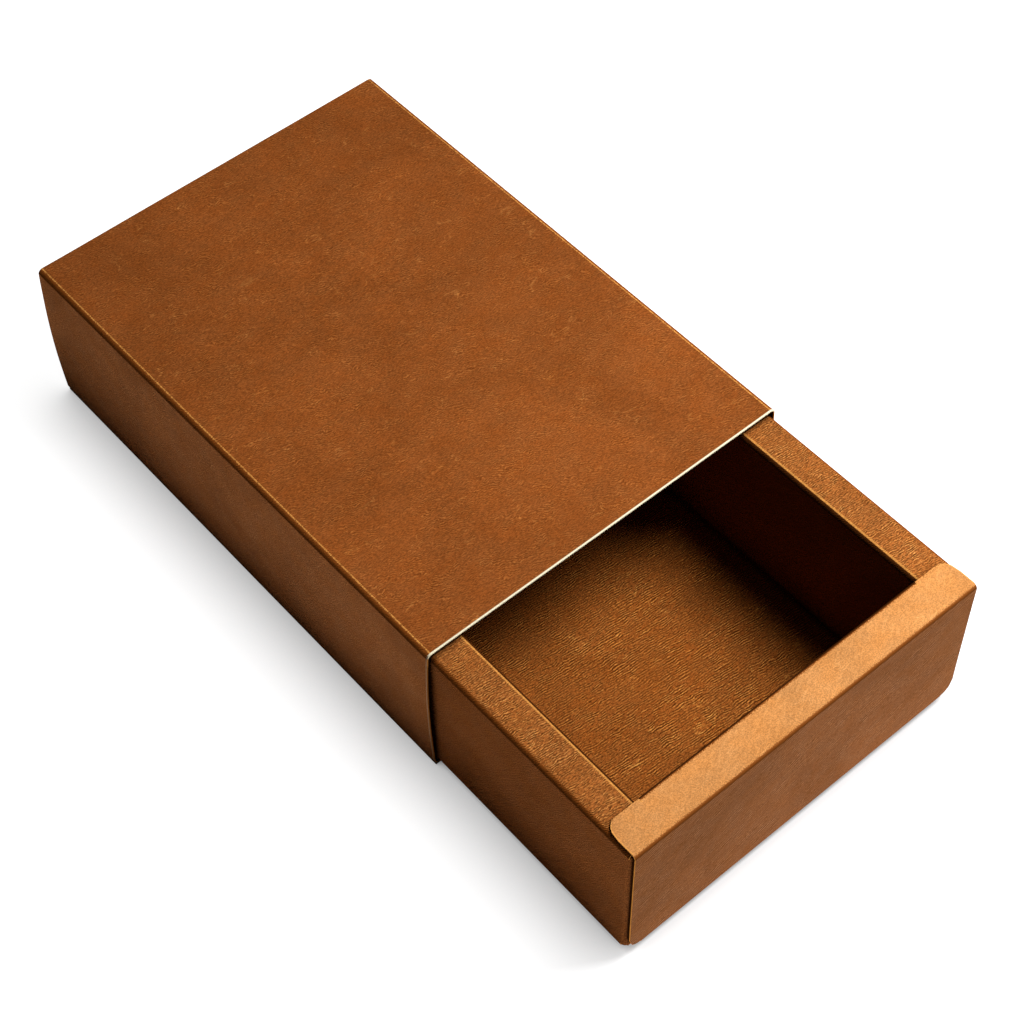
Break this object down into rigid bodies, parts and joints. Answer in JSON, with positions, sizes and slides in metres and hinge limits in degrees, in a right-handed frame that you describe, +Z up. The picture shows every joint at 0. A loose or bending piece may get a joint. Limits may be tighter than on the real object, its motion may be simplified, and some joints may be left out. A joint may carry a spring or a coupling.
{
  "type": "sliding drawer gift box",
  "caption": "Oblong drawer box of folded kraft board: a low tray with hollow rolled-over walls and round-ended rims slides out of an open-ended sleeve.",
  "frame": {"origin": "centre of the sleeve's base, on the surface that the box stands on", "axes": "+Z up, -Y the way the tray opens, +X to the right when facing the open tray"},
  "size_m": [0.1218, 0.2458, 0.052],
  "materials": {
    "sleeve_board": "matt brown kraft board with a fine fibre grain",
    "tray_board": "matt brown kraft board with a fine fibre grain"
  },
  "bodies": {
    "sleeve": {"sleeve_top_panel": "sleeve_board", "sleeve_right_panel": "sleeve_board", "sleeve_left_panel": "sleeve_board", "sleeve_bottom_panel": "sleeve_board", "sleeve_glue_flap": "sleeve_board"},
    "tray": {"tray_floor": "tray_board", "tray_left_outer_wall": "tray_board", "tray_left_rim": "tray_board", "tray_left_inner_wall": "tray_board", "tray_right_outer_wall": "tray_board", "tray_right_rim": "tray_board", "tray_right_inner_wall": "tray_board", "tray_front_outer_wall": "tray_board", "tray_front_rim": "tray_board", "tray_front_inner_wall": "tray_board", "tray_back_outer_wall": "tray_board", "tray_back_rim": "tray_board", "tray_back_inner_wall": "tray_board", "corner_tab_front_left": "tray_board", "corner_tab_front_right": "tray_board", "corner_tab_back_left": "tray_board", "corner_tab_back_right": "tray_board"}
  },
  "joints": [
    {"name": "tray_slide", "type": "slide", "parent": "sleeve", "child": "tray", "axis": [0, -1, 0], "range_m": [-0.074, 0.083]}
  ]
}
